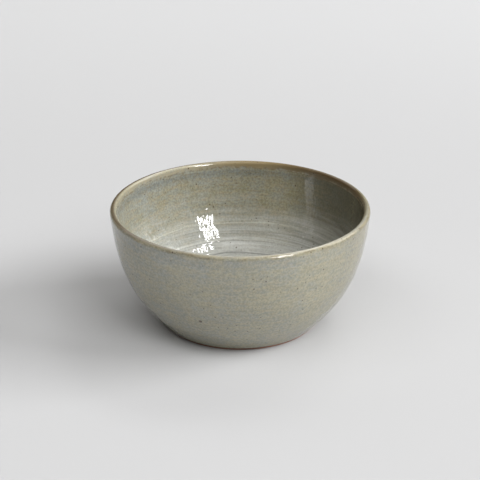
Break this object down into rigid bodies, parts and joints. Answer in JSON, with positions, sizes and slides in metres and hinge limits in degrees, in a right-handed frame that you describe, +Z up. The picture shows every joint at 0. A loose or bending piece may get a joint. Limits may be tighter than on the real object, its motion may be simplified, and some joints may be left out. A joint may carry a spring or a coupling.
{
  "type": "breakfast bowl",
  "caption": "Wheel-thrown stoneware breakfast bowl with upright walls, a rounded lip, a trimmed foot and a glossy grey-green glaze.",
  "frame": {"origin": "middle of the foot, on the plane that the bowl stands on", "axes": "+Z up along the bowl's turning axis; X and Y are free, because the bowl is round"},
  "size_m": [0.15, 0.15, 0.0704],
  "materials": {
    "clay": "bare red-brown stoneware, dry and slightly gritty",
    "outer_glaze": "glossy grey-green glaze with fine speckle, faint turning lines and a few iron spots",
    "rim_glaze": "the same glaze broken to ochre where it thins over the lip",
    "inner_glaze": "glossy grey-green glaze over throwing rings, blue-grey under the lip and pale low on the wall"
  },
  "bodies": {
    "root": {"clay_body": "clay", "outer_glaze": "outer_glaze", "rim_glaze": "rim_glaze", "inner_glaze": "inner_glaze"}
  },
  "joints": []
}
